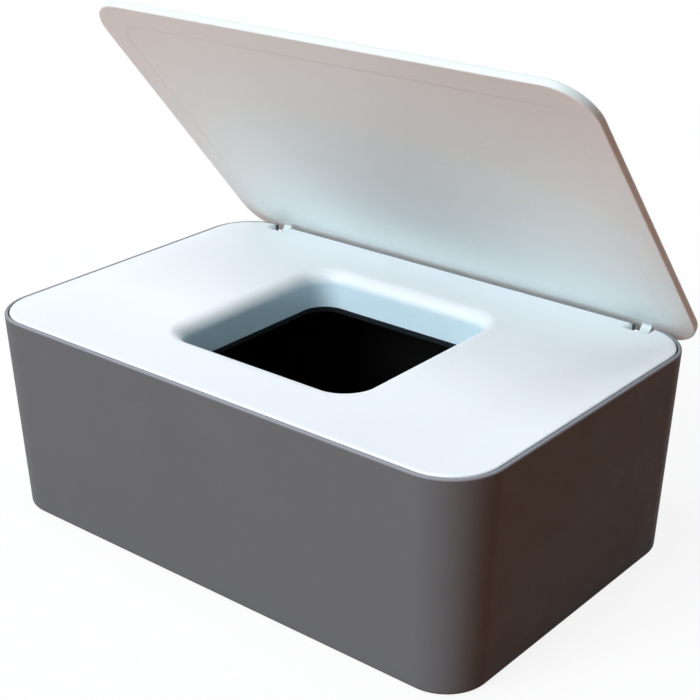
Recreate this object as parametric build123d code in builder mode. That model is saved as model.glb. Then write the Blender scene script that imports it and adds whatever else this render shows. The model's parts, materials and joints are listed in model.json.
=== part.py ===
from build123d import *
from math import cos, radians, sin, tan
import os

# A table-top box for wet wipes: a tub on four grip pads, a drop-in tray with a square mouth,
# and a lid that turns on two pins in pockets at the tray's back edge.
# Millimetres. X runs along the length, the front is at -Y, Z is up, and the tub stands on Z = 0.

# Driving dimensions of the tub
box_length = 190.0
box_width = 124.0
rim_height = 68.8
corner_radius = 17.5
side_taper = 2.85
wall = 2.4
floor_thickness = 2.4
base_edge_radius = 1.5
inner_edge_radius = 2.0
stand_ring_width = 4.0
stand_ring_height = 0.6
rim_lip = 1.2
rim_round = 0.7
rim_inner_round = 0.3

# Driving dimensions of the tray and its mouth
tray_gap = 0.4
tray_proud = 0.2
tray_plate = 2.0
tray_edge_round = 0.6
skirt_wall = 1.6
mouth_size = 71.6
mouth_corner = 9.0
mouth_round = 4.6
collar_wall = 2.0
collar_depth = 12.7

# Driving dimensions of the soft rings
ring_depth = 2.0
ring_wall = 1.2
ring_upstand = 3.0
ring_inset = 0.3
ring_round = 0.7
groove_depth = 0.8
groove_height = 1.5
groove_above_seat = 1.0
groove_below_pocket = 0.1
seal_clearance = 0.05
seal_round = 0.35

# Driving dimensions of the grip pads
pad_radius = 6.0
pad_socket = 0.6
pad_round = 0.2
pad_inset = 17.0

# Driving dimensions of the lid
lid_side_inset = 1.85
lid_front_reach = 0.8
lid_corner = 14.0
lid_thickness = 3.0
lid_top_round = 1.2
lid_under_round = 0.5
lid_gap = 1.0
liner_inset = 9.5
liner_thickness = 1.6
liner_corner = 8.0
liner_clearance = 0.15
liner_recess = 0.1
liner_round = 0.3

# Driving dimensions of the hinge
photo_angle = 50.5
open_angle = 100.0
hinge_end_inset = 20.0
hinge_drop = 8.6
hinge_back = 3.9
arm_width = 3.6
arm_eye_radius = 2.2
arm_root_round = 0.9
pin_radius = 0.9
pin_running_clearance = 0.05
pin_seat_clearance = 0.02
pin_end_inset = 0.2
pin_end_round = 0.2
pocket_side_clearance = 1.8
pocket_front_clearance = 0.6
pocket_flare = 1.6
pocket_wall = 1.6
slot_clearance = 0.3

# Levels and places that follow from the sizes above
slope = tan(radians(side_taper))
floor_z = stand_ring_height + floor_thickness
tray_top = rim_height + tray_proud
plate_under = tray_top - tray_plate
collar_end = tray_top - collar_depth
tray_inset = rim_lip + tray_gap
back_y = box_width / 2
lid_under = rim_height + lid_gap
lid_length = box_length - 2 * lid_side_inset
lid_width = box_width + lid_front_reach
hinge_y = back_y - hinge_back
hinge_z = lid_under - hinge_drop
pocket_width = arm_width + 2 * pocket_side_clearance
pocket_front = hinge_y - arm_eye_radius - pocket_front_clearance
over_swing = radians(open_angle - 90)
slot_floor = hinge_z - arm_eye_radius / cos(over_swing) - hinge_back * tan(over_swing) - slot_clearance
block_low = slot_floor - pocket_wall
groove_top = block_low - groove_below_pocket
groove_low = groove_top - groove_height
seat_z = groove_low - groove_above_seat
seat_depth = rim_height - seat_z
hinge_x = box_length / 2 - hinge_end_inset
hinge_xs = (-hinge_x, hinge_x)


def outline(z, inset):
    """Length, width and corner radius of the tub's sloping side at a level, moved inwards by an inset."""
    shrink = inset + (rim_height - z) * slope
    return box_length - 2 * shrink, box_width - 2 * shrink, corner_radius - shrink


def facing_down(z):
    """A plane at a level that looks down, so that a tapered extrusion narrows towards the base."""
    return Plane(origin=(0, 0, z), x_dir=(1, 0, 0), z_dir=(0, 0, -1))


def flat_face_at(part, z, facing):
    """The largest flat face of a part at a level, facing up (1) or down (-1)."""
    level = part.faces().filter_by(GeomType.PLANE).filter_by_position(Axis.Z, z - 0.001, z + 0.001)
    return level.filter_by(lambda f: f.normal_at().Z * facing > 0.99).sort_by(SortBy.AREA)[-1]


# Tub: one moulded shell whose sides lean in to the base, with a thinner lip round its rim.
# The lip's foot is the seat that the tray stands on.
with BuildPart() as tub:
    with BuildSketch(facing_down(rim_height)):
        RectangleRounded(*outline(rim_height, 0))
    extrude(amount=rim_height, taper=side_taper)
    fillet(flat_face_at(tub, 0, -1).edges(), base_edge_radius)
    with BuildSketch(facing_down(rim_height)):
        RectangleRounded(*outline(rim_height, wall))
    extrude(amount=rim_height - floor_z, taper=side_taper, mode=Mode.SUBTRACT)
    fillet(flat_face_at(tub, floor_z, 1).edges(), inner_edge_radius)
    with BuildSketch(facing_down(rim_height)):
        RectangleRounded(*outline(rim_height, rim_lip))
    extrude(amount=seat_depth, taper=side_taper, mode=Mode.SUBTRACT)
    rim_face = flat_face_at(tub, rim_height, 1)
    fillet(rim_face.outer_wire().edges(), rim_round)
    rim_face = flat_face_at(tub, rim_height, 1)
    fillet(rim_face.inner_wires()[0].edges(), rim_inner_round)
    # The shallow recess inside the standing ring, and a socket in it for each pad
    with BuildSketch(Plane.XY):
        RectangleRounded(*outline(0, base_edge_radius + stand_ring_width))
    extrude(amount=stand_ring_height, mode=Mode.SUBTRACT)
    pad_span = outline(0, pad_inset)[:2]
    with BuildSketch(Plane.XY.offset(stand_ring_height)):
        with GridLocations(pad_span[0], pad_span[1], 2, 2):
            Circle(pad_radius)
    extrude(amount=pad_socket, mode=Mode.SUBTRACT)
    # Open-topped slots in the back rim that the lid's arms swing into
    slot_reach = wall + seat_depth * slope
    with BuildSketch(Plane.XY.offset(slot_floor)):
        with Locations(*[(x, back_y) for x in hinge_xs]):
            Rectangle(pocket_width, 2 * slot_reach)
    extrude(amount=rim_height - slot_floor, mode=Mode.SUBTRACT)
tub.part.label = "tub"

# Tray: a plate with a deep skirt that drops into the rim, and a rolled collar round the mouth
with BuildPart() as tray:
    with BuildSketch(facing_down(tray_top)):
        RectangleRounded(*outline(tray_top, tray_inset))
    extrude(amount=tray_top - seat_z, taper=side_taper)
    fillet(flat_face_at(tray, tray_top, 1).edges(), tray_edge_round)
    with BuildSketch(facing_down(plate_under)):
        RectangleRounded(*outline(plate_under, tray_inset + skirt_wall))
    extrude(amount=plate_under - seat_z, taper=side_taper, mode=Mode.SUBTRACT)
    collar_size = mouth_size + 2 * collar_wall
    with BuildSketch(facing_down(plate_under)):
        RectangleRounded(collar_size, collar_size, mouth_corner + collar_wall)
    extrude(amount=plate_under - collar_end)
    fillet(flat_face_at(tray, plate_under, -1).inner_wires()[0].edges(), mouth_round - tray_plate)
    with BuildSketch(facing_down(tray_top)):
        RectangleRounded(mouth_size, mouth_size, mouth_corner)
    extrude(amount=collar_depth, mode=Mode.SUBTRACT)
    fillet(flat_face_at(tray, tray_top, 1).inner_wires()[0].edges(), mouth_round)
    # Groove round the skirt for the seal
    with BuildSketch(facing_down(groove_top)):
        RectangleRounded(*outline(groove_top, rim_lip))
        RectangleRounded(*outline(groove_top, tray_inset + groove_depth), mode=Mode.SUBTRACT)
    extrude(amount=groove_height, taper=side_taper, mode=Mode.SUBTRACT)
    # Two blocks under the back edge, and an open-backed pocket for a lid arm in each
    block_front = pocket_front - pocket_wall
    block_back = outline(block_low, tray_inset + skirt_wall / 2)[1] / 2
    block_width = pocket_width + 2 * pocket_wall
    with BuildSketch(Plane.XY.offset(block_low)):
        with Locations(*[(x, (block_front + block_back) / 2) for x in hinge_xs]):
            Rectangle(block_width, block_back - block_front)
    extrude(amount=plate_under - block_low)
    pocket_near = hinge_x - pocket_width / 2
    pocket_far = hinge_x + pocket_width / 2
    flare_low = tray_top - pocket_flare
    with BuildSketch(Plane.XZ.offset(-back_y)):
        with BuildLine():
            Polyline((pocket_far, flare_low), (pocket_far, slot_floor), (pocket_near, slot_floor), (pocket_near, flare_low))
            CenterArc((pocket_near - pocket_flare, flare_low), pocket_flare, 0, 90)
            Line((pocket_near - pocket_flare, tray_top), (pocket_far + pocket_flare, tray_top))
            CenterArc((pocket_far + pocket_flare, flare_low), pocket_flare, 90, 90)
        make_face()
        mirror(about=Plane.YZ)
    extrude(amount=back_y - pocket_front, mode=Mode.SUBTRACT)
    with BuildSketch(Plane(origin=(0, hinge_y, hinge_z), x_dir=(0, 1, 0), z_dir=(1, 0, 0))):
        Circle(pin_radius + pin_seat_clearance)
    extrude(amount=hinge_x + block_width / 2, both=True, mode=Mode.SUBTRACT)
tray.part.label = "tray"

# Seal: a soft ring in the skirt's groove that just clears the tub's lip
with BuildPart() as tray_seal:
    with BuildSketch(facing_down(groove_top)):
        RectangleRounded(*outline(groove_top, rim_lip + seal_clearance))
        RectangleRounded(*outline(groove_top, tray_inset + groove_depth), mode=Mode.SUBTRACT)
    extrude(amount=groove_height, taper=side_taper)
    for seal_face in (flat_face_at(tray_seal, groove_top, 1), flat_face_at(tray_seal, groove_low, -1)):
        fillet(seal_face.outer_wire().edges(), seal_round)
tray_seal.part.label = "tray_seal"

# Mouth ring: a dark soft ring that caps the collar's lower end and grips it from outside
with BuildPart() as mouth_ring:
    ring_outer = collar_size + 2 * ring_wall
    ring_mouth = mouth_size - 2 * ring_inset
    with BuildSketch(facing_down(collar_end)):
        RectangleRounded(ring_outer, ring_outer, mouth_corner + collar_wall + ring_wall)
        RectangleRounded(ring_mouth, ring_mouth, mouth_corner - ring_inset, mode=Mode.SUBTRACT)
    extrude(amount=ring_depth)
    with BuildSketch(Plane.XY.offset(collar_end)):
        RectangleRounded(ring_outer, ring_outer, mouth_corner + collar_wall + ring_wall)
        RectangleRounded(collar_size, collar_size, mouth_corner + collar_wall, mode=Mode.SUBTRACT)
    extrude(amount=ring_upstand)
    fillet(flat_face_at(mouth_ring, collar_end - ring_depth, -1).edges(), ring_round)
mouth_ring.part.label = "mouth_ring"

# The lid is drawn on the plane of its underside, turned open about the hinge line.
# Its own x runs along the length and its own y towards the hinge edge.
tilt = radians(photo_angle)
towards_hinge = (0, cos(tilt), -sin(tilt))
outwards = (0, sin(tilt), cos(tilt))
lid_out = Axis((0, 0, 0), outwards)
lid_mid = hinge_back - lid_width / 2


def lid_plane(along_out):
    """The plane at a height over the hinge line, with its origin at the middle of the lid."""
    middle_y = hinge_y + lid_mid * cos(tilt) + along_out * sin(tilt)
    middle_z = hinge_z - lid_mid * sin(tilt) + along_out * cos(tilt)
    return Plane(origin=(0, middle_y, middle_z), x_dir=(1, 0, 0), z_dir=outwards)


def arm_plane(x):
    """The plane across the hinge line at a place along it, with its own y pointing out of the lid."""
    return Plane(origin=(x, hinge_y, hinge_z), x_dir=towards_hinge, z_dir=(1, 0, 0))


# Lid shell: the outer plate with its two hinge arms, and a pocket underneath for the liner
pocket_depth = liner_thickness + liner_recess
with BuildPart() as lid_shell:
    with BuildSketch(lid_plane(hinge_drop)):
        RectangleRounded(lid_length, lid_width, lid_corner)
    extrude(amount=lid_thickness)
    fillet(lid_shell.faces().filter_by(lid_out).sort_by(lid_out)[-1].edges(), lid_top_round)
    fillet(lid_shell.faces().filter_by(lid_out).sort_by(lid_out)[0].edges(), lid_under_round)
    with BuildSketch(lid_plane(hinge_drop)):
        RectangleRounded(lid_length - 2 * liner_inset, lid_width - 2 * liner_inset, liner_corner)
    extrude(amount=pocket_depth, mode=Mode.SUBTRACT)
    # Each arm is an eye on the hinge line that flares into the lid's underside
    root_half = arm_eye_radius + arm_root_round
    root_low = hinge_drop - arm_root_round
    root_high = hinge_drop + lid_thickness / 2
    for arm_x in hinge_xs:
        with BuildSketch(arm_plane(arm_x)):
            with BuildLine():
                CenterArc((-root_half, root_low), arm_root_round, 90, -90)
                Line((-arm_eye_radius, root_low), (-arm_eye_radius, 0))
                CenterArc((0, 0), arm_eye_radius, 180, 180)
                Line((arm_eye_radius, 0), (arm_eye_radius, root_low))
                CenterArc((root_half, root_low), arm_root_round, 180, -90)
                Polyline((root_half, hinge_drop), (root_half, root_high), (-root_half, root_high))
                Line((-root_half, root_high), (-root_half, hinge_drop))
            make_face()
        extrude(amount=arm_width / 2, both=True)
    with BuildSketch(arm_plane(0)):
        Circle(pin_radius + pin_running_clearance)
    extrude(amount=hinge_x + arm_width, both=True, mode=Mode.SUBTRACT)
lid_shell.part.label = "lid_shell"

# Lid liner: the inner panel that closes the shell's pocket, whose outline shows as a faint line
liner_inset_all = liner_inset + liner_clearance
with BuildPart() as lid_liner:
    with BuildSketch(lid_plane(hinge_drop + liner_recess)):
        RectangleRounded(
            lid_length - 2 * liner_inset_all,
            lid_width - 2 * liner_inset_all,
            liner_corner - liner_clearance,
        )
    extrude(amount=liner_thickness)
    fillet(lid_liner.faces().filter_by(lid_out).sort_by(lid_out)[0].edges(), liner_round)
lid_liner.part.label = "lid_liner"

pieces = [tub, tray, tray_seal, mouth_ring, lid_shell, lid_liner]

# Hinge pins: short steel pins pressed into each pocket's side walls, through the arm's eye
pin_length = block_width - 2 * pin_end_inset
for side, pin_x in zip(("left", "right"), hinge_xs):
    with BuildPart() as hinge_pin:
        with BuildSketch(arm_plane(pin_x)):
            Circle(pin_radius)
        extrude(amount=pin_length / 2, both=True)
        fillet(hinge_pin.edges().filter_by(GeomType.CIRCLE), pin_end_round)
    hinge_pin.part.label = "hinge_pin_" + side
    pieces.append(hinge_pin)

# Grip pads: round pads in the sockets under the corners, level with the standing ring
for row, sign_y in (("front", -1), ("back", 1)):
    for side, sign_x in (("left", -1), ("right", 1)):
        with BuildPart() as grip_pad:
            with BuildSketch(Plane.XY):
                with Locations((sign_x * pad_span[0] / 2, sign_y * pad_span[1] / 2)):
                    Circle(pad_radius)
            extrude(amount=stand_ring_height + pad_socket)
            fillet(flat_face_at(grip_pad, 0, -1).edges(), pad_round)
        grip_pad.part.label = "grip_pad_" + row + "_" + side
        pieces.append(grip_pad)

os.makedirs("parts", exist_ok=True)
for piece in pieces:
    export_step(piece.part, "parts/" + piece.part.label + ".step")
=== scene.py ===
"""Wipes box with a hinged lid: the looks around the packed CAD part.

Metres, in the part's own frame: X runs along the length, the front is at -Y, and the box stands on
Z = 0. Each piece is a surface worked out on a grid from the sizes in the property groups below.
"""

import json
import math

import bmesh
import bpy
import numpy as np
from bpy.props import FloatProperty, FloatVectorProperty, PointerProperty
from bpy.types import Node, NodeSocket, Operator, Panel, PropertyGroup
from mathutils import Matrix, Vector


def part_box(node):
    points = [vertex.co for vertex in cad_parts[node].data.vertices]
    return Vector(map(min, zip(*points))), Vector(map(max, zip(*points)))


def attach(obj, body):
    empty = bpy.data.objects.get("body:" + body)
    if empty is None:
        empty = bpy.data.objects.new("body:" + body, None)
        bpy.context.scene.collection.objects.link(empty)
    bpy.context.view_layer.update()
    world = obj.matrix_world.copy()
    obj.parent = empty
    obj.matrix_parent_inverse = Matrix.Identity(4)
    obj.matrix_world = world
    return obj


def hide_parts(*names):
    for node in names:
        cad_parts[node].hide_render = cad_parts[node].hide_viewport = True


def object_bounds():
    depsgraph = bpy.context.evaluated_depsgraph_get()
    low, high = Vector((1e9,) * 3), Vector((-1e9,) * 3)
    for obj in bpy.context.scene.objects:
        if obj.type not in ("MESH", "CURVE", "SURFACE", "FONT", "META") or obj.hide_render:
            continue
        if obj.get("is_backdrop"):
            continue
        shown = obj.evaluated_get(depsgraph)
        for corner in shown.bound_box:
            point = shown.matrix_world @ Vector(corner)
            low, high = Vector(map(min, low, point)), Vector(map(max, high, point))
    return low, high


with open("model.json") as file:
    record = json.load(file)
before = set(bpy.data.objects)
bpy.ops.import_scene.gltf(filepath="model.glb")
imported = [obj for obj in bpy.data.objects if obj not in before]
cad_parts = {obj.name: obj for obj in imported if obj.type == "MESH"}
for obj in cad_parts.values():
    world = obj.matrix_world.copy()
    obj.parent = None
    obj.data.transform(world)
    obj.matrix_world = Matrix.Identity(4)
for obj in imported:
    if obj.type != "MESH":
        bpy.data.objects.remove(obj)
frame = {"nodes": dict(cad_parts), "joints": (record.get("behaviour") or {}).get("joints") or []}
cad_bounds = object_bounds()

bl_info = {
    "name": "Wipes box",
    "version": (1, 0, 0),
    "blender": (4, 5, 0),
    "location": "3D View > Sidebar > Wipes box",
    "description": "Builds a table-top wipes box with a hinged lid, and a stage to show it on",
    "category": "Add Mesh",
}

MM = 0.001
HINGE = next(joint for joint in frame["joints"] if joint["name"] == "lid_hinge")
PAD_NODES = [node for node in sorted(frame["nodes"]) if node.startswith("grip_pad_")]
PIN_NODES = [node for node in sorted(frame["nodes"]) if node.startswith("hinge_pin_")]


def linear(code):
    """The linear colour of an sRGB hex code."""
    shares = np.array([int(code[k : k + 2], 16) for k in (1, 3, 5)]) / 255
    bright = ((shares + 0.055) / 1.055) ** 2.4
    return tuple(float(v) for v in np.where(shares <= 0.04045, shares / 12.92, bright))


def length(label, says, mm):
    """A length of the object, given in millimetres and kept in metres."""
    return FloatProperty(
        name=label, description=says, default=mm * MM, min=0, precision=5, unit="LENGTH"
    )


def turn(label, says, degrees):
    """An angle, given in degrees and kept in radians."""
    return FloatProperty(
        name=label, description=says, default=math.radians(degrees), subtype="ANGLE"
    )


def hue(label, says, code):
    """A colour, given as an sRGB hex code and kept linear."""
    return FloatVectorProperty(
        name=label, description=says, default=linear(code), min=0, max=1, size=3, subtype="COLOR"
    )


def power(label, says, watts):
    """The power of a lamp, in watts."""
    return FloatProperty(name=label, description=says, default=watts, unit="POWER")


# ------ Sizes and colours


class WIPESBOX_PG_tub(PropertyGroup):
    """Sizes of the tub."""

    long: length("Length", "Length of the rim, end to end", 190)
    wide: length("Width", "Width of the rim, front to back", 124)
    high: length("Height", "Height of the rim above the table", 68.8)
    corner: length("Corner radius", "Radius of the rim's corners, seen from above", 17.5)
    lean: turn("Lean", "How far the sides lean in towards the base", 2.85)
    wall: length("Wall", "Thickness of the side walls", 2.4)
    lip: length("Lip", "Thickness of the wall above the tray's seat", 1.2)
    floor: length("Floor", "Level of the inside floor", 3)
    base_round: length("Base edge", "Radius where the sides meet the base", 1.5)
    inner_round: length("Inner edge", "Radius where the sides meet the inside floor", 2)
    rim_round: length("Rim, outside", "Radius of the rim's outer edge", 0.7)
    rim_inner_round: length("Rim, inside", "Radius of the rim's inner edge", 0.3)
    ring_wide: length("Standing ring width", "Width of the flat ring that the tub stands on", 4)
    ring_high: length("Standing ring height", "How far the ring stands below the base", 0.6)


class WIPESBOX_PG_tray(PropertyGroup):
    """Sizes of the tray and its mouth."""

    inset: length("Inset", "Distance from the rim's outer edge to the tray's side", 1.6)
    top: length("Top", "Level of the tray's top", 69)
    plate: length("Plate", "Thickness of the plate", 2)
    seat: length("Skirt end", "Level of the skirt's lower end, which stands on the seat", 53.778)
    skirt: length("Skirt", "Thickness of the skirt", 1.6)
    edge_round: length("Edge", "Radius of the plate's outer edge", 0.6)
    mouth: length("Mouth", "Width of the square mouth", 71.6)
    mouth_corner: length("Mouth corner", "Radius of the mouth's corners", 9)
    roll: length("Roll", "Radius with which the plate turns down into the mouth", 4.6)
    collar: length("Collar wall", "Thickness of the collar under the mouth", 2)
    collar_deep: length("Collar depth", "Depth of the collar below the tray's top", 12.7)
    groove_deep: length("Groove depth", "Depth of the seal's groove in the skirt", 0.8)
    groove_high: length("Groove height", "Height of the seal's groove", 1.5)
    groove_lift: length("Groove lift", "Height of the groove above the skirt's lower end", 1)


class WIPESBOX_PG_pocket(PropertyGroup):
    """Sizes of the two hinge pockets."""

    middle: length("Middle", "Distance of a pocket's middle from the box's middle", 75)
    wide: length("Width", "Width of a pocket", 7.2)
    front: length("Front", "How far back the pocket's front wall stands", 55.3)
    floor: length("Floor", "Level of the pocket's floor", 57.98)
    flare: length("Flare", "Radius that opens the pocket's upper edges", 1.6)
    wall: length("Wall", "Thickness of the block round a pocket", 1.6)


class WIPESBOX_PG_rings(PropertyGroup):
    """Sizes of the two soft rings."""

    drop: length("Mouth ring depth", "How far the mouth ring stands below the collar", 2)
    wall: length("Mouth ring wall", "Thickness of the mouth ring round the collar", 1.2)
    upstand: length("Mouth ring upstand", "How far the mouth ring reaches up the collar", 3)
    inset: length("Mouth ring inset", "How far the mouth ring stands inside the mouth", 0.3)
    edge: length("Mouth ring edge", "Radius of the mouth ring's lower edges", 0.7)
    seal_gap: length("Seal gap", "Gap between the seal and the tub's lip", 0.05)
    seal_round: length("Seal edge", "Radius of the seal's outer edges", 0.35)


class WIPESBOX_PG_lid(PropertyGroup):
    """Sizes of the lid, its liner and its arms, drawn flat over the hinge line."""

    long: length("Length", "Length of the lid", 186.3)
    wide: length("Width", "Width of the lid", 124.8)
    corner: length("Corner radius", "Radius of the lid's corners", 14)
    thick: length("Thickness", "Thickness of the lid's shell", 3)
    top_round: length("Upper edge", "Radius of the lid's upper edge", 1.2)
    under_round: length("Lower edge", "Radius of the lid's lower edge", 0.5)
    liner_inset: length("Liner inset", "Distance from the lid's edge to the liner's pocket", 9.5)
    liner_corner: length("Liner corner", "Radius of the liner's pocket", 8)
    liner_thick: length("Liner thickness", "Thickness of the liner", 1.6)
    liner_recess: length("Liner recess", "How far the liner lies below the lid's underside", 0.1)
    liner_gap: length("Liner gap", "Width of the hairline joint round the liner", 0.015)
    liner_round: length("Liner edge", "Radius of the liner's edge", 0.06)
    step_wide: length("Step", "Width of the soft step from the lid's underside to the liner", 1)
    open: turn("Opening", "How far the lid is open at rest", 50.5)
    drop: length("Hinge drop", "Distance of the hinge line below the lid's underside", 8.6)
    back: length("Hinge set-back", "Distance of the hinge line from the lid's back edge", 3.9)
    arm: length("Arm width", "Width of a hinge arm", 3.6)
    eye: length("Eye radius", "Radius of a hinge arm's eye", 2.2)
    root: length("Root radius", "Radius where a hinge arm meets the lid", 0.9)
    arm_round: length("Arm edge", "Radius of a hinge arm's edges", 0.3)
    pin: length("Pin radius", "Radius of a hinge pin", 0.9)
    pin_long: length("Pin length", "Length of a hinge pin", 10)
    pin_round: length("Pin edge", "Radius of a hinge pin's ends", 0.2)


class WIPESBOX_PG_pads(PropertyGroup):
    """Sizes of the grip pads."""

    radius: length("Radius", "Radius of a grip pad", 6)
    edge: length("Edge", "Radius of a pad's lower edge", 0.2)
    dish: length("Dish", "Depth of the dished middle of a pad", 0.25)


class WIPESBOX_PG_finish(PropertyGroup):
    """Colours of the plastics, rubbers and metal."""

    tub: hue("Tub", "Grey of the tub", "#687075")
    # The rim's paler grey is a painted highlight, where the rim catches the light
    rim: hue("Rim", "Paler grey of the rim, a painted highlight", "#92969C")
    # The tub's inside tone is painted shade: near black for the dark inside, on a tub that is grey
    # all through
    inside_painted_shade: hue("Tub inside", "Painted shade: near-black tone of the tub's inner walls, for the dark inside", "#111112")
    tray: hue("Tray", "Cool white of the tray", "#EFF5FA")
    # The collar's tone is a painted cool shade, bluer deeper in the mouth
    collar: hue("Collar", "Painted cool shade of the wall deep inside the mouth", "#D6F1FE")
    # The lid's tone is the tray's white made greyer and bluer: painted shade for its shaded
    # underside
    lid: hue("Lid", "White of the lid, greyer and bluer than the tray's as painted shade", "#D8E5E6")
    ring: hue("Mouth ring", "Dark blue grey of the mouth ring", "#161E25")
    seal: hue("Seal", "Grey of the tray's seal", "#A9ADB0")
    pad: hue("Grip pads", "Dark grey of the pads", "#3C3C3E")
    steel: hue("Hinge pins", "Colour of the steel", "#B9B8B5")


class WIPESBOX_PG_stage(PropertyGroup):
    """The camera, lamps and floor."""

    azimuth: turn("Azimuth", "Direction of the camera round the box", 39.557)
    height: turn("Elevation", "Height of the camera above the table, as an angle", 23.623)
    roll: turn("Roll", "Turn of the camera about its own line of sight", -0.12)
    distance: length("Distance", "Distance of the camera from its target", 540.24)
    target: FloatVectorProperty(
        name="Target",
        description="Point in the middle of the picture",
        default=(-0.02437, 0.03746, 0.04104),
        size=3,
        subtype="TRANSLATION",
        unit="LENGTH",
    )
    lens: FloatProperty(
        name="Lens", description="Focal length on a 36 mm sensor", default=80.454, unit="CAMERA"
    )
    key: power("Key lamp", "Power of the large lamp in front", 55)
    top: power("Top lamp", "Power of the lamp overhead", 20.5)
    side: power("Side lamp", "Power of the lamp high on the left", 9.5)
    rear: power("Rear lamp", "Power of the lamp behind, for the far sides", 24)
    daylight: hue("Daylight", "Colour of the lamps", "#F9FCFF")
    sky: FloatProperty(
        name="Sky", description="Strength of the even light all round", default=0.045, min=0
    )
    floor: hue("Floor", "Colour of the floor", "#FAFAFA")
    bounce: hue("Bounce", "Colour of the light that the table throws back", "#AE5A14")


# ------ Outlines and profiles


# Columns of points: in each corner of an outline, along its long and short sides, and on each
# flare and across the floor of a hinge pocket
CORNER_STEPS = 25
LONG_STEPS = 30
SHORT_STEPS = 18
FLARE_STEPS = 6
POCKET_STEPS = 6
CORNER_SIGNS = ((1, -1), (1, 1), (-1, 1), (-1, -1))
PLAIN_COUNTS = (CORNER_STEPS, SHORT_STEPS, CORNER_STEPS, LONG_STEPS) * 2
# Degrees at which the back corners' own columns end, outside the pockets' even on the smallest
# corner, at the standing ring's inner edge
BACK_STOP = 71
# Rows that stand close beside an end hold the shading there: shares of the way along a stretch,
# across a flat band, and from the edge of a flat fill to its middle
HOLD = 0.03
BAND = np.array([0, 0.06, 0.5, 0.94, 1])
FILL = np.array([1, 0.985, 0.8, 0.6, 0.4, 0.2, 0])
# Points closer together than this are one point
WELD = 0.002 * MM


class Outline:
    """A rounded rectangle seen from above, as columns of points that can be moved inwards.

    A point is a place on the core rectangle (the outline less its corner radius), plus the corner
    radius less the inset, along the column's outward direction. Where the back side has stations,
    its columns stay at those x instead, and take y from the outline there. The stations may reach
    into the back corners, whose own columns then end at the angle of stop.
    """

    def __init__(self, long, wide, corner, counts=PLAIN_COUNTS, stations=None, stop=90):
        self.corner = corner
        self.half_core = np.array([long / 2 - corner, wide / 2 - corner])
        cores, turns, fixed = [], [], []
        for k, here in enumerate(CORNER_SIGNS):
            first = 180 - stop if k == 2 else 90 * k - 90
            last = stop if k == 1 else 90 * k
            angles = np.linspace(first, last, counts[2 * k])
            if stations is not None and k == 1:
                side, held = np.tile(here, (len(stations), 1)) * [0, 1], stations
            else:
                steps = np.linspace(0, 1, counts[2 * k + 1] + 2)[1:-1, None]
                side = np.array(here) + (np.array(CORNER_SIGNS[(k + 1) % 4]) - here) * steps
                held = np.full(len(side), np.nan)
            cores += [np.tile(here, (len(angles), 1)), side]
            turns += [angles, np.full(len(side), 90.0 * k)]
            fixed += [np.full(len(angles), np.nan), held]
        self.core = np.concatenate(cores) * self.half_core
        self.turn = np.radians(np.concatenate(turns))
        self.fixed = np.concatenate(fixed)
        self.count = len(self.turn)

    def place(self, inset, level, columns=slice(None)):
        """Points at insets and levels, one row each, or one for each row and column."""
        inset, level = np.broadcast_arrays(np.asarray(inset, float), np.asarray(level, float))
        if inset.ndim < 2:
            inset, level = inset.reshape(-1, 1), level.reshape(-1, 1)
        reach = self.corner - inset
        core, angle, fixed = self.core[columns], self.turn[columns], self.fixed[columns]
        x = core[:, 0] + reach * np.cos(angle)
        y = core[:, 1] + reach * np.sin(angle)
        x = np.where(np.isnan(fixed), x, fixed)
        past = np.maximum(np.abs(x) - self.half_core[0], 0)
        on_curve = self.half_core[1] + np.sqrt(np.maximum(reach**2 - past**2, 0))
        y = np.where(np.isnan(fixed), y, on_curve)
        return np.stack([x, y, np.broadcast_to(level, x.shape)], -1)


def arc(inset, level, radius, first, last, steps=8):
    """Points on a circle of a profile, as insets and levels, from one angle to another."""
    angle = np.radians(np.linspace(first, last, steps + 1))
    return np.stack([inset + radius * np.cos(angle), level + radius * np.sin(angle)], -1)


def run(start, end, steps=1):
    """Points on a straight stretch of a profile, with close rows at both ends."""
    share = np.unique(np.concatenate([np.linspace(0, 1, steps + 1), [HOLD, 1 - HOLD]]))
    return np.array(start) + (np.array(end) - np.array(start)) * share[:, None]


def profile(*parts):
    """Parts of a profile, one after another, without points that coincide."""
    points = np.concatenate([np.atleast_2d(part) for part in parts])
    keep = np.ones(len(points), bool)
    keep[1:] = np.linalg.norm(np.diff(points, axis=0), axis=1) > WELD
    return points[keep]


def to_middle(row):
    """A flat fill: a closed row of points, drawn together towards the middle of the box."""
    centre = row * [0, 0, 1]
    return centre + (row - centre) * FILL[:, None, None]


def between(first, last, steps):
    """A ruled fill between two rows of points."""
    return first + (last - first) * np.linspace(0, 1, steps + 1)[:, None, None]


def across(start, end):
    """Insets from one to another across a flat band, with close rows at both ends."""
    return start + (end - start) * BAND


def moved(patches, place):
    """The same patches with their points put elsewhere by a function."""
    return [(place(points), wrap, finish) for points, wrap, finish in patches]


def mirrored(patches):
    """The same patches on the other side of the box's middle."""
    return moved(patches, lambda points: points * [-1, 1, 1])


# ------ Meshes


def placed(name, data):
    """A new object in the scene, at the origin."""
    made = bpy.data.objects.new(name, data)
    bpy.context.scene.collection.objects.link(made)
    return made


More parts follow.
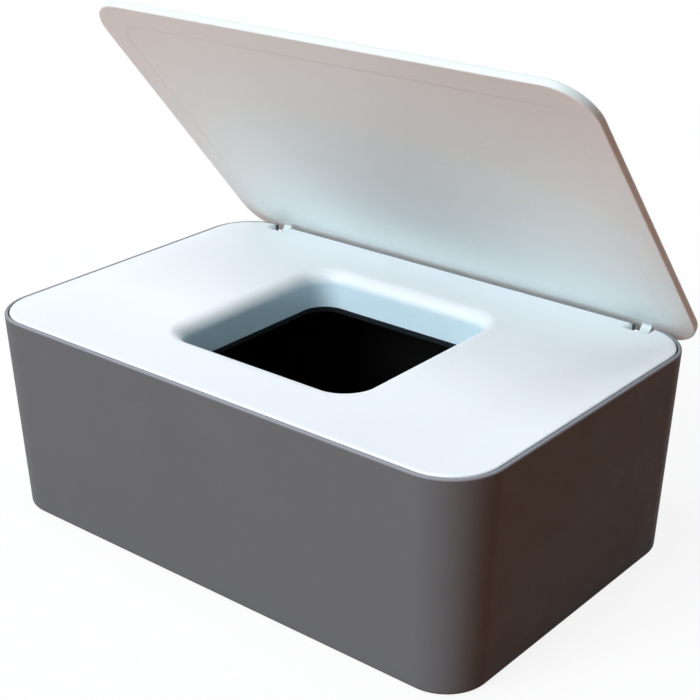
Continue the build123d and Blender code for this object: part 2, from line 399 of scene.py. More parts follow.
def skin(name, patches, finishes, body, nodes, crease=38):
    """One piece from patches of points. A patch is rows and columns of points, whether its last
    column joins its first, and the number of its finish. Rows that meet are welded, so the piece
    is a closed skin, and edges sharper than the crease angle stay crisp."""
    corners, faces, materials, start = [], [], [], 0
    for points, wrap, finish in patches:
        rows, columns = points.shape[:2]
        steps = columns if wrap else columns - 1
        row, column = np.meshgrid(np.arange(rows - 1), np.arange(steps), indexing="ij")
        here, ahead = row * columns + column, row * columns + (column + 1) % columns
        quad = np.stack([here, ahead, ahead + columns, here + columns], -1)
        faces.append(quad.reshape(-1, 4) + start)
        materials.append(np.full(len(faces[-1]), finish))
        corners.append(points.reshape(-1, 3))
        start += rows * columns
    corners, faces, materials = (np.concatenate(part) for part in (corners, faces, materials))
    mesh = bpy.data.meshes.new(name)
    mesh.from_pydata(corners, [], faces)
    mesh.polygons.foreach_set("material_index", materials)
    welded = bmesh.new()
    welded.from_mesh(mesh)
    bmesh.ops.remove_doubles(welded, verts=welded.verts, dist=WELD)
    bmesh.ops.dissolve_degenerate(welded, edges=welded.edges, dist=WELD / 4)
    bmesh.ops.recalc_face_normals(welded, faces=welded.faces)
    welded.to_mesh(mesh)
    welded.free()
    mesh.polygons.foreach_set("use_smooth", np.ones(len(mesh.polygons), bool))
    mesh.set_sharp_from_angle(angle=math.radians(crease))
    for finish in finishes:
        mesh.materials.append(finish)
    piece = placed(name, mesh)
    piece.modifiers.new("even shading", "WEIGHTED_NORMAL").keep_sharp = True
    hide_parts(*nodes)
    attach(piece, body)


def revolved(points, middle, axis, steps=48):
    """A profile of radii and places along an axis, turned about that axis through a point: the
    radius times the cosine and the sine of the angle, beside the place along the axis."""
    angle = np.linspace(0, 2 * math.pi, steps, endpoint=False)
    radius, along = points[:, :1], np.repeat(points[:, 1:], steps, 1)
    first, second = radius * np.cos(angle), radius * np.sin(angle)
    order = {"x": (along, first, second), "z": (first, second, along)}[axis]
    return np.stack(order, -1) + np.array(middle)


# ------ Finishes


# Numbers of the Mix node's sockets when it mixes colours
COLOUR_A, COLOUR_B, COLOUR_MIXED = 6, 7, 2
WHITE = (1, 1, 1, 1)


def feed(tree, node, inputs):
    """Sets a node's inputs, by name or number, to values, sockets or other nodes' first outputs."""
    for key, value in inputs.items():
        if isinstance(value, Node):
            value = value.outputs[0]
        if isinstance(value, NodeSocket):
            tree.links.new(value, node.inputs[key])
        else:
            node.inputs[key].default_value = value


def add(tree, kind, inputs=(), **settings):
    """Adds a shader node of a kind, with its settings and its inputs."""
    made = tree.nodes.new("ShaderNode" + kind)
    for key, value in settings.items():
        setattr(made, key, value)
    feed(tree, made, dict(inputs))
    return made


def blank(name):
    """A new material with its tree, its Principled shader and the place on the object."""
    made = bpy.data.materials.new(name)
    made.use_nodes = True
    tree = made.node_tree
    place = add(tree, "TexCoord").outputs["Object"]
    return made, tree, tree.nodes["Principled BSDF"], place


def looked_at(tree):
    """1 for rays of the camera, of mirrors and of glass, and 0 for rays of light."""
    path = add(tree, "LightPath")
    straight = {0: path.outputs["Is Camera Ray"], 1: path.outputs["Is Glossy Ray"]}
    seen = add(tree, "Math", straight, operation="MAXIMUM")
    both = {0: seen, 1: path.outputs["Is Transmission Ray"]}
    return add(tree, "Math", both, operation="MAXIMUM")


def set_tones(ramp, colour, places, shifts):
    """Sets the two ends of a colour ramp: where they lie, and the colour, darkened or paled."""
    for stop, place, shift in zip(ramp.color_ramp.elements, places, shifts):
        stop.position = place
        stop.color = [min(c * shift, 1) for c in colour] + [1]


def moulded(
    name, colour, rough, grain_mm=0.6, deep_mm=0.012, clouds=0.012, glow=0.1, shine=0.5, second=None
):
    """An injection-moulded plastic.

    Its eye-catchers are a soft, broad shine, a fine spark-eroded grain, and faint clouds from the
    flow of the melt, a few centimetres across. The real grain is about 0.1 mm, too fine to show,
    so it is drawn as coarse as it needs to be seen. The colour may turn into a second one with
    height, given as that colour, the level where it starts and the level where it is full.
    """
    made, tree, shader, place = blank(name)
    # Clouds 45 mm across, flecks of 1.2 mm, patches of shine of 9 mm, and the grain
    flow, fleck, sheen, grain = (
        add(
            tree,
            "TexNoise",
            {"Vector": place, "Scale": 1 / (mm * MM), "Detail": detail, "Roughness": uneven},
        )
        for mm, detail, uneven in ((45, 3, 0.6), (1.2, 2, 0.5), (9, 4, 0.5), (grain_mm, 2, 0.5))
    )
    both = add(tree, "Mix", {"Factor": 0.25, "A": flow, "B": fleck})
    shade = add(tree, "ValToRGB", {"Fac": both})
    set_tones(shade, colour, (0.3, 0.7), (1 - clouds, 1 + clouds))
    if second:
        tint, start, full = second
        level = add(tree, "SeparateXYZ", {"Vector": place}).outputs["Z"]
        ends = {"From Min": start, "From Max": full, "To Min": 0.0, "To Max": 1.0}
        share = add(tree, "MapRange", {"Value": level, **ends}, interpolation_type="SMOOTHSTEP")
        blend = {"Factor": share, COLOUR_A: shade, COLOUR_B: (*tint, 1)}
        shade = add(tree, "Mix", blend, data_type="RGBA").outputs[COLOUR_MIXED]
    ends = {"From Min": 0.3, "From Max": 0.7, "To Min": rough - 0.05, "To Max": rough + 0.05}
    relief = {"Height": grain, "Strength": 1.0, "Distance": deep_mm * MM}
    finish = {
        "Base Color": shade,
        "Roughness": add(tree, "MapRange", {"Value": sheen, **ends}),
        "Normal": add(tree, "Bump", relief),
        "IOR": 1.5,
        "Specular IOR Level": shine,
        "Subsurface Weight": glow,
        "Subsurface Radius": (1.0, 1.0, 1.0),
        "Subsurface Scale": 1.5 * MM,
    }
    feed(tree, shader, finish)
    return made


def rubber(name, colour, rough):
    """A moulded silicone or thermoplastic rubber.

    It gives the eye a dull, slightly hazy face with paler dust in clouds 3 mm across, and no grain.
    """
    made, tree, shader, place = blank(name)
    specks = {"Vector": place, "Scale": 1 / (3 * MM), "Detail": 5.0, "Roughness": 0.65}
    dust = add(tree, "TexNoise", specks)
    tone = add(tree, "ValToRGB", {"Fac": dust})
    set_tones(tone, colour, (0.35, 0.75), (0.94, 1.12))
    ends = {"Value": dust, "To Min": rough - 0.08, "To Max": rough + 0.08}
    haze = add(tree, "MapRange", ends)
    relief = {"Height": dust, "Strength": 1.0, "Distance": 0.02 * MM}
    finish = {
        "Base Color": tone,
        "Roughness": haze,
        "Normal": add(tree, "Bump", relief),
        "IOR": 1.41,
        "Specular IOR Level": 0.25,
        "Sheen Weight": 0.05,
    }
    feed(tree, shader, finish)
    return made


def drawn_steel(name, colour):
    """Cold-drawn stainless steel.

    It gives the eye fine bright lines along the pin, about 0.05 mm apart, too fine to show, so
    they are drawn 0.15 mm apart and stretched along X, the way that the pin was drawn.
    """
    made, tree, shader, place = blank(name)
    along = add(tree, "Mapping", {"Vector": place, "Scale": (0.03, 1.0, 1.0)})
    streaks = {"Vector": along, "Scale": 1 / (0.15 * MM), "Detail": 2.0}
    lines = add(tree, "TexNoise", streaks)
    tone = add(tree, "ValToRGB", {"Fac": lines})
    set_tones(tone, colour, (0, 1), (0.85, 1.05))
    spread = add(tree, "MapRange", {"Value": lines, "To Min": 0.22, "To Max": 0.4})
    feed(tree, shader, {"Base Color": tone, "Roughness": spread, "Metallic": 1.0})
    return made


# ------ Pieces


def box_outline(tub, pocket):
    """The box's outline, with columns on both edges of each hinge pocket and along its flares.

    Returns the outline, the columns of the right pocket from its outer flare to its inner one,
    and those of the left pocket in the same order, as their numbers.
    """
    half = pocket.wide / 2
    bend = pocket.flare * (1 + np.cos(np.radians(np.linspace(90, 180, FLARE_STEPS + 1))))
    outer = pocket.middle + half + bend
    inner = pocket.middle - half - bend[::-1]
    floor = np.linspace(outer[-1], inner[0], POCKET_STEPS + 1)[1:-1]
    pocketed = np.concatenate([outer, floor, inner])
    middle = np.linspace(pocketed[-1], -pocketed[-1], LONG_STEPS + 1)[1:-1]
    stations = np.concatenate([pocketed, middle, -pocketed[::-1]])
    outline = Outline(tub.long, tub.wide, tub.corner, stations=stations, stop=BACK_STOP)
    first = CORNER_STEPS + SHORT_STEPS + CORNER_STEPS
    last = first + len(stations) - 1
    right = np.arange(first, first + len(pocketed))
    left = np.arange(last, last - len(pocketed), -1)
    return outline, right, left


def open_spans(outline, right, left):
    """The columns outside the two pockets: the long way round, and the stretch between them."""
    around = np.concatenate([np.arange(left[0], outline.count), np.arange(0, right[0] + 1)])
    return around, np.arange(right[-1], left[-1] + 1)


def tub_patches(tub, tray, pocket):
    """The tub is its profile carried round the box's outline: the recess of the base, the standing
    ring, the leaning side, the rim, the lip, the seat, the inner wall and the floor. The rows
    between the two lips are cut down to the slot's floor in the columns of each slot."""
    slope, stretch, tilt = math.tan(tub.lean), 1 / math.cos(tub.lean), math.degrees(tub.lean)
    outline, right, left = box_outline(tub, pocket)
    place = outline.place

    def side(level, wall=0.0):
        """Inset of the leaning side at a level, or of the face a wall's thickness behind it."""
        return wall + (tub.high - level) * slope

    def edge(level, radius, first, last, wall=0.0, way=1, steps=8):
        """An arc that touches the leaning side, inwards of it, or outwards with a way of -1."""
        return arc(side(level, wall) + way * radius * stretch, level, radius, first, last, steps)

    ring_inner = side(0) + tub.base_round + tub.ring_wide
    low = edge(tub.base_round, tub.base_round, -90, -180 + tilt)
    rim = edge(tub.high - tub.rim_round, tub.rim_round, 180 + tilt, 90)
    lip_level, lip_round = tub.high - tub.rim_inner_round, tub.rim_inner_round
    lip = edge(lip_level, lip_round, 90, tilt, tub.lip, way=-1, steps=5)
    foot = edge(tub.floor + tub.inner_round, tub.inner_round, 180 + tilt, 270, tub.wall)
    slot = [side(pocket.floor), pocket.floor]
    slot_inner = [side(pocket.floor, tub.lip), pocket.floor]
    seat = [side(tray.seat, tub.lip), tray.seat]
    seat_edge = [side(tray.seat, tub.wall), tray.seat]
    standing = run([ring_inner, 0], low[0])
    outside = profile([ring_inner, tub.ring_high], standing, low, run(low[-1], slot, 6))
    upper = profile(run(slot, rim[0]), rim, lip, run(lip[-1], slot_inner))
    inside = profile(run(slot_inner, seat), seat_edge, run(seat_edge, foot[0], 4), foot)
    patches = [
        (to_middle(place(ring_inner, tub.ring_high)[0]), True, 0),
        (place(*outside.T), True, 0),
        (place(*inside.T), True, 1),
        (to_middle(place(*foot[-1])[0]), True, 1),
    ]
    slots = right[FLARE_STEPS:-FLARE_STEPS], left[FLARE_STEPS:-FLARE_STEPS]
    for span in open_spans(outline, *slots):
        patches.append((place(*upper.T, span), False, 0))
    steps = np.linalg.norm(np.diff(upper, axis=0), axis=1)
    share = np.concatenate([[0], np.cumsum(steps)]) / steps.sum()
    cut = np.array(slot) + (np.array(slot_inner) - np.array(slot)) * share[:, None]
    patches.append((place(*cut.T, slots[0]), False, 0))
    for end in (slots[0][:1], slots[0][-1:]):
        whole, floor = place(*upper.T, end), place(*cut.T, end)
        patches.append((np.concatenate([whole, floor], 1), False, 0))
    return patches + mirrored(patches[-3:])


def mouth_outline(tray, outline, right, left):
    """The square mouth's outline, with as many columns as the box's, each facing its own one."""
    turn_right = right[-1] - CORNER_STEPS - SHORT_STEPS + 1
    turn_left = outline.count - left[-1] - SHORT_STEPS - CORNER_STEPS - LONG_STEPS
    back = left[-1] - right[-1] - 1
    counts = CORNER_STEPS, SHORT_STEPS, turn_right, back, turn_left, *PLAIN_COUNTS[5:]
    return Outline(tray.mouth, tray.mouth, tray.mouth_corner, counts)


def tray_patches(tub, tray, pocket):
    """The tray is a profile carried round the box's outline (skirt, groove and edge), a flat plate
    ruled from there to the mouth's outline, and a profile carried round the mouth (roll, collar
    and the same again underneath). The two hinge pockets are set into the back edge, each with a
    floor, a front wall, two side walls, two flares and a closed block round it."""
    slope, tilt = math.tan(tub.lean), math.degrees(tub.lean)
    outline, right, left = box_outline(tub, pocket)
    place, mouth = outline.place, mouth_outline(tray, outline, right, left)
    under = tray.top - tray.plate
    bend = tray.top - tray.edge_round
    bend_inset = tray.inset + (tub.high - bend) * slope + tray.edge_round / math.cos(tub.lean)
    front = tub.wide / 2 - pocket.front
    block = front + pocket.wall
    block_low = pocket.floor - pocket.wall

    def side(level):
        """Inset of the tray's outer side at a level: the leaning skirt, then the rounded edge."""
        lean = tray.inset + (tub.high - level) * slope
        rounded = bend_inset - np.sqrt(np.maximum(tray.edge_round**2 - (level - bend) ** 2, 0))
        return np.where(level > bend - tray.edge_round * math.sin(tub.lean), rounded, lean)

    def inner(level):
        """Inset of the skirt's inner face at a level."""
        return tray.inset + tray.skirt + (tub.high - level) * slope

    groove_low = tray.seat + tray.groove_lift
    groove_top = groove_low + tray.groove_high
    grooves = np.repeat([groove_low, groove_top], 2)
    skirt_levels = np.array([tray.seat, *grooves, pocket.floor])
    skirt_insets = side(skirt_levels) + tray.groove_deep * np.array([0, 0, 1, 1, 0, 0])
    back_levels = np.array([block_low, tray.seat])
    edge_levels = bend + tray.edge_round * np.sin(np.radians(np.linspace(-tilt, 90, 11)))
    levels = np.concatenate([np.linspace(pocket.floor, edge_levels[0], 5)[:-1], edge_levels])
    rise = (levels - pocket.floor) / (tray.top - pocket.floor)
    wall_levels = np.linspace(under, block_low, 6)
    patches = [
        (place([inner(tray.seat), side(tray.seat)], tray.seat), True, 0),
        (place(skirt_insets, skirt_levels), True, 0),
        (place(inner(back_levels), back_levels), True, 0),
    ]
    for span in open_spans(outline, right, left):
        patches += [
            (place(side(levels), levels, span), False, 0),
            (place(across(bend_inset, front), tray.top, span), False, 0),
            (place(across(block, inner(under)), under, span), False, 0),
            (place(inner(wall_levels), wall_levels, span), False, 0),
        ]
    roll = arc(-tray.roll, tray.top - tray.roll, tray.roll, 90, 0, steps=14)
    low = tray.top - tray.collar_deep
    hollow = arc(-tray.roll, tray.top - tray.roll, tray.roll - tray.plate, 0, 90, steps=10)
    plate = between(place(front, tray.top)[0], mouth.place(*roll[0])[0], 8)
    shelf = between(mouth.place(*hollow[-1])[0], place(block, under)[0], 6)
    collar = profile(run(roll[-1], [0, low], 4))
    outer = profile([0, low], run([-tray.collar, low], hollow[0], 3), hollow)
    patches += [
        (plate, True, 0),
        (mouth.place(*roll.T), True, 1),
        (mouth.place(*collar.T), True, 1),
        (mouth.place(*outer.T), True, 0),
        (shelf, True, 0),
    ]
    # The right pocket, and its mirror image on the left
    cut = np.full(len(right), tray.top - pocket.flare)
    lift = pocket.flare * np.sin(np.radians(np.linspace(90, 180, FLARE_STEPS + 1)))
    cut[: FLARE_STEPS + 1] += lift
    cut[-FLARE_STEPS - 1 :] += lift[::-1]
    pockets = []
    for part in (slice(0, FLARE_STEPS + 1), slice(-FLARE_STEPS - 1, None)):
        trimmed = pocket.floor + (cut[part] - pocket.floor) * rise[:, None]
        insets = across(side(cut[part])[:, None], front).T
        pockets.append(place(side(trimmed), trimmed, right[part]))
        pockets.append(place(insets, cut[part], right[part]))
    heights = pocket.floor + (tray.top - pocket.flare - pocket.floor) * rise
    for column in (right[FLARE_STEPS], right[-FLARE_STEPS - 1]):
        insets = across(side(heights)[:, None], front)
        pockets.append(place(insets, heights[:, None], np.full(len(BAND), column)))
    middle = right[FLARE_STEPS:-FLARE_STEPS]
    floor = float(side(np.array(pocket.floor)))
    above = cut + (tray.top - cut) * np.linspace(0, 1, 4)[:, None]
    pockets.append(place(across(floor, front), pocket.floor, middle))
    pockets.append(place(front, heights, middle))
    pockets.append(place(front, above, right))
    # The block under it
    pockets.append(place(block, wall_levels, right))
    for column in (right[0], right[-1]):
        insets = across(block, inner(wall_levels)[:, None])
        pockets.append(place(insets, wall_levels[:, None], np.full(len(BAND), column)))
    pockets.append(place(across(block, inner(block_low)), block_low, right))
    pockets = [(points, False, 0) for points in pockets]
    return patches + pockets + mirrored(pockets)


def ring_section(*corners, steps=5):
    """A closed section from its corners, each an inset, a level and the radius that rounds it.

    A rounded corner is a quarter turn as a rational curve through its two ends, drawn towards the
    corner with the square root of a half as its weight.
    """
    corners = np.array(corners, float)
    before, after = np.roll(corners, 1, 0), np.roll(corners, -1, 0)
    share, points = np.linspace(0, 1, steps + 1)[:, None], []
    pull = 2 * math.sqrt(0.5) * share * (1 - share)
    for corner, back, ahead in zip(corners, before, after):
        spot, radius = corner[:2], corner[2]
        to_back, to_ahead = back[:2] - spot, ahead[:2] - spot
        start = spot + to_back / np.linalg.norm(to_back) * radius
        end = spot + to_ahead / np.linalg.norm(to_ahead) * radius
        weight = (1 - share) ** 2 + pull + share**2
        curve = ((1 - share) ** 2 * start + pull * spot + share**2 * end) / weight
        points.append(curve if radius else spot[None])
    points = np.concatenate(points)
    return np.concatenate([points, points[:1]])


def in_lid(points, lid):
    """Points drawn flat over the hinge line, turned open about it and put in the box's frame."""
    axis = np.array(HINGE["pos_m"])
    towards = np.array([0, math.cos(lid.open), -math.sin(lid.open)])
    outwards = np.array([0, math.sin(lid.open), math.cos(lid.open)])
    return axis + points @ np.stack([[1, 0, 0], towards, outwards])


def lid_middle(lid):
    """Where the middle of the lid lies from the hinge line, with the lid drawn flat."""
    return np.array([0, lid.back - lid.wide / 2, 0])


def liner_outline(lid):
    """The outline of the liner's pocket."""
    long, wide = lid.long - 2 * lid.liner_inset, lid.wide - 2 * lid.liner_inset
    return Outline(long, wide, lid.liner_corner)


def arm_patches(lid):
    """An arm is half a profile (the eye, the straight neck and the flared root) taken on both
    sides of the arm, and carried across it with rounded edges."""
    sunk = 0.4 * MM  # How far the arm reaches into the lid
    eye = arc(0, 0, lid.eye, -90, 0, steps=12)
    root = arc(lid.eye + lid.root, lid.drop - lid.root, lid.root, 180, 90, steps=6)
    half = profile(eye, root, [lid.eye + lid.root, lid.drop + sunk])
    ahead = np.gradient(half, axis=0)
    outward = np.stack([ahead[:, 1], -ahead[:, 0]], -1)
    outward /= np.linalg.norm(outward, axis=1, keepdims=True)
    outward[0], outward[-1] = (0, -1), (1, 0)
    bend = np.radians(np.linspace(0, 90, 5))
    place = lid.arm / 2 - lid.arm_round + lid.arm_round * np.sin(bend)
    pull = lid.arm_round * (1 - np.cos(bend))
    width, pull = np.concatenate([-place[::-1], place]), np.concatenate([pull[::-1], pull])
    side = half[:, None] - outward[:, None] * pull[None, :, None]
    side[0, :, 0] = 0
    arm = np.stack([np.broadcast_to(width, side.shape[:2]), side[..., 0], side[..., 1]], -1)
    other = arm * [1, -1, 1]
    ends = [np.stack([arm[:, end], other[:, end]], 1) for end in (0, -1)]
    return [(points, False, 0) for points in (arm, other, *ends, np.stack([arm[-1], other[-1]]))]


def lid_shell_patches(lid, pocket):
    """The lid is its profile carried round its outline: the flat top, the edge, the underside and
    the pocket of the liner, with a soft step (3 times the share squared, less twice its cube)."""
    outline, bed = Outline(lid.long, lid.wide, lid.corner), liner_outline(lid)
    top = lid.drop + lid.thick
    over = arc(lid.top_round, top - lid.top_round, lid.top_round, 90, 180, steps=9)
    below = arc(lid.under_round, lid.drop + lid.under_round, lid.under_round, 180, 270, steps=6)
    bed_level = lid.drop + lid.liner_thick + lid.liner_recess
    edge = profile(over, below, run(below[-1], [lid.liner_inset - 2 * lid.step_wide, lid.drop], 2))
    share = np.linspace(0, 1, 9)
    soft = lid.drop + lid.liner_recess * (share**2 * (3 - 2 * share))
    step = np.stack([(share - 1) * lid.step_wide - lid.liner_gap, soft], -1)
    well = profile(step, [0, lid.drop + lid.liner_recess + lid.liner_gap], [0, bed_level])
    shell = [
        (to_middle(outline.place(*over[0])[0]), True, 0),
        (outline.place(*edge.T), True, 0),
        (between(outline.place(*edge[-1])[0], bed.place(*step[0])[0], 1), True, 0),
        (bed.place(*well.T), True, 0),
        (to_middle(bed.place(0, bed_level)[0]), True, 0),
    ]
    patches = moved(shell, lambda points: points + lid_middle(lid))
    for middle in (-pocket.middle, pocket.middle):
        patches += moved(arm_patches(lid), lambda points: points + [middle, 0, 0])
    return moved(patches, lambda points: in_lid(points, lid))


def liner_patches(lid):
    """The liner is a thin plate carried round its outline. It fills the shell's pocket but for a
    hairline joint, so that only the soft step round it shows, as in the photograph."""
    outline, flat = liner_outline(lid), 10 * lid.liner_round
    face, bed = lid.drop + lid.liner_recess, lid.drop + lid.liner_recess + lid.liner_thick
    turned = lid.liner_gap + lid.liner_round
    edge = arc(turned, face + lid.liner_round, lid.liner_round, 270, 180, steps=5)
    rows = profile([flat, face], edge, [lid.liner_gap, bed - lid.liner_gap])
    plate = [
        (to_middle(outline.place(*rows[0])[0]), True, 0),
        (outline.place(*rows.T), True, 0),
        (to_middle(outline.place(*rows[-1])[0]), True, 0),
    ]
    return moved(plate, lambda points: in_lid(points + lid_middle(lid), lid))


# ------ Operators


class WIPESBOX_OT_tub(Operator):
    """Makes the grey tub, with its rim, seat, hinge slots and standing ring."""

    bl_idname = "wipesbox.tub"
    bl_label = "Tub"

    def execute(self, context):
        scene = context.scene
        tub, finish = scene.wipesbox_tub, scene.wipesbox_finish
        # Satin moulded polypropylene: grey with a broad, weak shine, and a painted highlight that
        # turns it paler in the last 0.2 to 0.8 mm below its rim
        satin = {"deep_mm": 0.03, "clouds": 0.03, "glow": 0.0}
        painted_rim_highlight = {"second": (finish.rim, tub.high - 0.8 * MM, tub.high - 0.2 * MM)}
        outside = moulded(
            "Polypropylene, grey, spark-eroded", finish.tub, 0.6, 0.7, shine=0.04, **painted_rim_highlight, **satin
        )
        # The inner walls, in a near-black painted shade that stands for the dark inside seen
        # through the mouth; the real tub is the same grey inside
        inside = moulded(
            "Polypropylene, inner walls, painted shade", finish.inside_painted_shade, 0.7, 0.9, shine=0.05, **satin
        )
        patches = tub_patches(tub, scene.wipesbox_tray, scene.wipesbox_pocket)
        skin("tub_moulding", patches, [outside, inside], "base", ["tub"])
        return {"FINISHED"}


class WIPESBOX_OT_tray(Operator):
    """Makes the white drop-in tray, with its rolled mouth, collar and hinge pockets."""

    bl_idname = "wipesbox.tray"
    bl_label = "Tray"

    def execute(self, context):
        scene = context.scene
        tray, finish = scene.wipesbox_tray, scene.wipesbox_finish
        # Satin moulded ABS: cool white, a little translucent at its thin edges
        plate = moulded("ABS, cool white, satin", finish.tray, rough=0.42)
        # The same plastic, with a painted cool shade that turns it bluer from 0.8 mm below the top,
        # and most so from 5.5 mm down in the mouth
        mouth_shade = finish.collar, tray.top - 0.8 * MM, tray.top - 5.5 * MM
        collar = moulded("ABS, cool white, collar with painted cool shade", finish.tray, rough=0.42, second=mouth_shade)
        patches = tray_patches(scene.wipesbox_tub, tray, scene.wipesbox_pocket)
        skin("tray_moulding", patches, [plate, collar], "tray_unit", ["tray"])
        return {"FINISHED"}


class WIPESBOX_OT_rings(Operator):
    """Makes the dark mouth ring and the seal in the skirt's groove."""

    bl_idname = "wipesbox.rings"
    bl_label = "Soft rings"

    def execute(self, context):
        scene = context.scene
        tub, tray, rings = scene.wipesbox_tub, scene.wipesbox_tray, scene.wipesbox_rings
        low = tray.top - tray.collar_deep
        outer = -tray.collar - rings.wall
        small = 0.2 * MM
        section = ring_section(
            (rings.inset, low, small / 2),
            (rings.inset, low - rings.drop, rings.edge),
            (outer, low - rings.drop, rings.edge),
            (outer, low + rings.upstand, small),
            (-tray.collar, low + rings.upstand, small),
            (-tray.collar, low, 0),
        )
        mouth = Outline(tray.mouth, tray.mouth, tray.mouth_corner)
        dark = rubber("Silicone, dark blue grey", scene.wipesbox_finish.ring, 0.5)
        gasket = [(mouth.place(*section.T), True, 0)]
        skin("mouth_gasket", gasket, [dark], "tray_unit", ["mouth_ring"])
        groove_low = tray.seat + tray.groove_lift
        groove_top = groove_low + tray.groove_high
        bottom, face = tray.inset + tray.groove_deep, tub.lip + rings.seal_gap
        spots = (bottom, groove_top, 0), (face, groove_top, rings.seal_round)
        spots += (face, groove_low, rings.seal_round), (bottom, groove_low, 0)
        slope = math.tan(tub.lean)
        corners = [(wall + (tub.high - level) * slope, level, edge) for wall, level, edge in spots]
        outline = Outline(tub.long, tub.wide, tub.corner)
        grey = rubber("Silicone, pale grey", scene.wipesbox_finish.seal, 0.55)
        seal = [(outline.place(*ring_section(*corners).T), True, 0)]
        skin("tray_gasket", seal, [grey], "tray_unit", ["tray_seal"])
        return {"FINISHED"}


class WIPESBOX_OT_lid(Operator):
    """Makes the white lid with its two hinge arms, and its liner."""

    bl_idname = "wipesbox.lid"
    bl_label = "Lid"

    def execute(self, context):
        scene = context.scene
        lid = scene.wipesbox_lid
        # Satin moulded ABS: the tray's white, set greyer and bluer as painted shade for the lid's
        # shaded underside, a little translucent at its edges
        white = moulded("ABS, white, satin", scene.wipesbox_finish.lid, rough=0.45)
        shell = lid_shell_patches(lid, scene.wipesbox_pocket)
        skin("lid_moulding", shell, [white], "lid", ["lid_shell"])
        skin("lid_panel", liner_patches(lid), [white], "lid", ["lid_liner"])
        return {"FINISHED"}


class WIPESBOX_OT_pins(Operator):
    """Makes the two steel hinge pins."""

    bl_idname = "wipesbox.pins"
    bl_label = "Hinge pins"

    def execute(self, context):
        scene = context.scene
        lid, axis = scene.wipesbox_lid, Vector(HINGE["pos_m"])
        steel = drawn_steel("Stainless steel, drawn", scene.wipesbox_finish.steel)
        half, edge = lid.pin_long / 2, lid.pin_round
        right = arc(lid.pin - edge, half - edge, edge, 0, 90, steps=4)
        points = profile([0, -half], (right * [1, -1])[::-1], right, [0, half])
        for node, way in zip(PIN_NODES, (-1, 1)):
            middle = (way * scene.wipesbox_pocket.middle, axis.y, axis.z)
            turned = [(revolved(points, middle, "x"), True, 0)]
            skin(node + "_rod", turned, [steel], "tray_unit", [node])
        return {"FINISHED"}


class WIPESBOX_OT_pads(Operator):
    """Makes the four grip pads under the tub's corners."""

    bl_idname = "wipesbox.pads"
    bl_label = "Grip pads"

    def execute(self, context):
        scene = context.scene
        tub, pads = scene.wipesbox_tub, scene.wipesbox_pads
        dark = rubber("Thermoplastic rubber, dark grey", scene.wipesbox_finish.pad, 0.7)
        # A flat foot ring round a dished middle (the cosine squared of a quarter turn), and its
        # rounded edge, up to just inside the base
        share, dished = np.linspace(0, 1, 9), 0.75 * pads.radius
        hollow = pads.dish * np.cos(share * math.pi / 2) ** 2
        edge = arc(pads.radius - pads.edge, pads.edge, pads.edge, -90, 0, steps=4)
        top = tub.ring_high + 0.01 * MM
        dish = np.stack([share * dished, hollow], -1)
        points = profile(dish, edge, [pads.radius, top], [0, top])
        for node in PAD_NODES:
            low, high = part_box(node)
            middle = ((low.x + high.x) / 2, (low.y + high.y) / 2, 0)
            turned = [(revolved(points, middle, "z", steps=64), True, 0)]
            skin(node + "_foot", turned, [dark], "base", [node])
        return {"FINISHED"}


def make_floor(stage):
    """A square floor. The camera and mirrors see it pale, and it throws a table's warmer light on
    the object. Near the box it keeps a share of its shadow, and farther away it is plain white."""
    half, near, far, kept = 4.0, 0.1, 0.45, 0.86
    corners = [(x * half, y * half, 0) for x, y in ((-1, -1), (1, -1), (1, 1), (-1, 1))]
    mesh = bpy.data.meshes.new("floor")
    mesh.from_pydata(corners, [], [(0, 1, 2, 3)])
    floor = placed("floor", mesh)
    floor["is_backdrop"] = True
    made, tree, shader, place = blank("Studio floor, matt paper")
    seen = looked_at(tree)
    tones = {"Factor": seen, COLOUR_A: (*stage.bounce, 1), COLOUR_B: (*stage.floor, 1)}
    tone = add(tree, "Mix", tones, data_type="RGBA").outputs[COLOUR_MIXED]
    feed(tree, shader, {"Base Color": tone, "Roughness": 0.9, "Specular IOR Level": 0.1})
    paper = add(tree, "Emission", {"Color": WHITE, "Strength": 1.0})
    away = add(tree, "VectorMath", {0: place}, operation="LENGTH").outputs["Value"]
    ends = {"From Min": near, "From Max": far, "To Min": kept, "To Max": 1.0}
    share = add(tree, "MapRange", {"Value": away, **ends}, interpolation_type="SMOOTHSTEP")
    plain = add(tree, "Math", {0: seen, 1: share}, operation="MULTIPLY")
    surface = add(tree, "MixShader", {0: plain, 1: shader, 2: paper})
    feed(tree, tree.nodes["Material Output"], {"Surface": surface})
    mesh.materials.append(made)


def make_world(stage):
    """A weak even light all round, which the camera and mirrors see as white."""
    world = bpy.data.worlds.new("Studio")
    bpy.context.scene.world = world
    world.use_nodes = True
    tree = world.node_tree
    seen = looked_at(tree)
    even = tree.nodes["Background"]
    feed(tree, even, {"Color": WHITE, "Strength": stage.sky})
    white = add(tree, "Background", {"Color": WHITE, "Strength": 1.0})
    mixed = add(tree, "MixShader", {0: seen, 1: even, 2: white})
    feed(tree, tree.nodes["World Output"], {"Surface": mixed})


def make_lamps(stage):
    """Square lamps, all one size and at one distance, turned to a point just above the table."""
    size, away, aim = 1.35, 2.4, Vector((0, 0, 0.05))
    for name, watts, towards in (
        ("key", stage.key, (-0.2, -0.84, 0.5)),
        ("top", stage.top, (-0.05, -0.2, 1)),
        ("side", stage.side, (-0.6, -0.1, 0.8)),
        ("rear", stage.rear, (0, 0.9, 0.35)),
    ):
        lamp = bpy.data.lights.new(name, "AREA")
        lamp.energy, lamp.color = watts, stage.daylight
        lamp.shape, lamp.size = "SQUARE", size
        holder = placed(name, lamp)
        towards = Vector(towards).normalized()
        holder.location = aim + towards * away
        holder.rotation_euler = towards.to_track_quat("Z", "Y").to_euler()


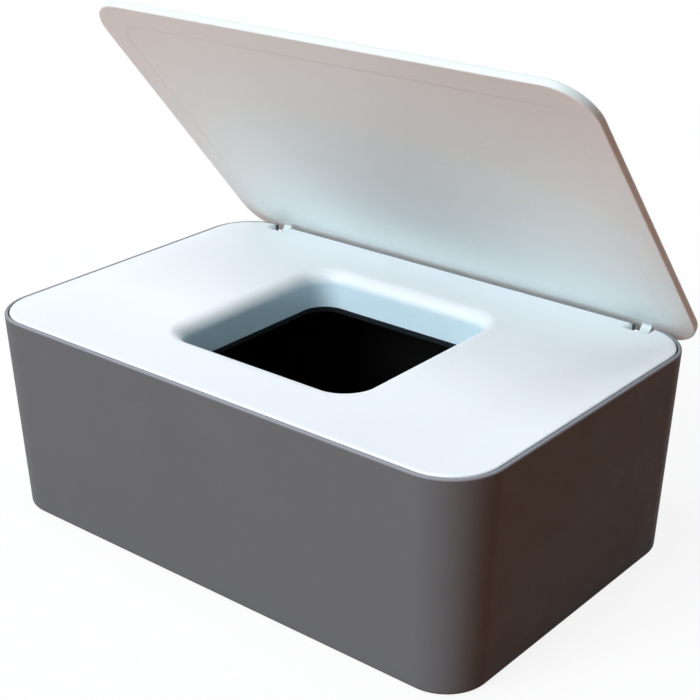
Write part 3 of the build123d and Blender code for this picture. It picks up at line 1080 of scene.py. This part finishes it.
def make_camera(stage):
    """The camera, which looks back along its direction from the target, turned by the roll."""
    az, up, roll = stage.azimuth, stage.height, stage.roll
    back = Vector((math.sin(az) * math.cos(up), -math.cos(az) * math.cos(up), math.sin(up)))
    level = Vector((math.cos(az), math.sin(az), 0))
    rise = back.cross(level)
    right = math.cos(roll) * level + math.sin(roll) * rise
    upright = -math.sin(roll) * level + math.cos(roll) * rise
    view = bpy.data.cameras.new("camera")
    view.sensor_width, view.lens, view.clip_start = 36, stage.lens, 10 * MM
    camera = placed("camera", view)
    turned = Matrix((right, upright, back)).transposed().to_4x4()
    turned.translation = Vector(stage.target) + back * stage.distance
    camera.matrix_world = turned
    bpy.context.scene.camera = camera


class WIPESBOX_OT_stage(Operator):
    """Makes the camera, the lamps, the pale floor and the white surroundings."""

    bl_idname = "wipesbox.stage"
    bl_label = "Stage"

    def execute(self, context):
        for make in (make_floor, make_world, make_lamps, make_camera):
            make(context.scene.wipesbox_stage)
        context.scene.view_settings.view_transform = "Standard"
        return {"FINISHED"}


OPERATORS = (
    WIPESBOX_OT_tub, WIPESBOX_OT_tray, WIPESBOX_OT_rings, WIPESBOX_OT_lid, WIPESBOX_OT_pins,
    WIPESBOX_OT_pads, WIPESBOX_OT_stage,
)
GROUPS = {
    "wipesbox_tub": WIPESBOX_PG_tub,
    "wipesbox_tray": WIPESBOX_PG_tray,
    "wipesbox_pocket": WIPESBOX_PG_pocket,
    "wipesbox_rings": WIPESBOX_PG_rings,
    "wipesbox_lid": WIPESBOX_PG_lid,
    "wipesbox_pads": WIPESBOX_PG_pads,
    "wipesbox_finish": WIPESBOX_PG_finish,
    "wipesbox_stage": WIPESBOX_PG_stage,
}


class WIPESBOX_PT_panel(Panel):
    """Lists the pieces, the sizes and the colours in the sidebar."""

    bl_idname = "WIPESBOX_PT_panel"
    bl_label = "Wipes box"
    bl_space_type = "VIEW_3D"
    bl_region_type = "UI"
    bl_category = "Wipes box"

    def draw(self, context):
        for operator in OPERATORS:
            self.layout.operator(operator.bl_idname)
        for name, group in GROUPS.items():
            box = self.layout.box()
            box.label(text=group.__doc__)
            for key in group.__annotations__:
                box.prop(getattr(context.scene, name), key)


def register():
    """Registers the property groups, the operators and the panel."""
    for kind in (*GROUPS.values(), *OPERATORS, WIPESBOX_PT_panel):
        bpy.utils.register_class(kind)
    for name, group in GROUPS.items():
        setattr(bpy.types.Scene, name, PointerProperty(type=group))


def unregister():
    """Takes them away again."""
    for name in GROUPS:
        delattr(bpy.types.Scene, name)
    for kind in (WIPESBOX_PT_panel, *reversed(OPERATORS), *reversed(list(GROUPS.values()))):
        bpy.utils.unregister_class(kind)


def main():
    """Registers the classes, makes the pieces and the stage, and works out both boxes' sizes."""
    register()
    for operator in OPERATORS:
        getattr(bpy.ops.wipesbox, operator.bl_idname.split(".")[1])()
    boxes = {"cad": cad_bounds, "visual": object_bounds()}
    sizes = {name: [[float(v) for v in corner] for corner in box] for name, box in boxes.items()}


if __name__ == "__main__":
    main()
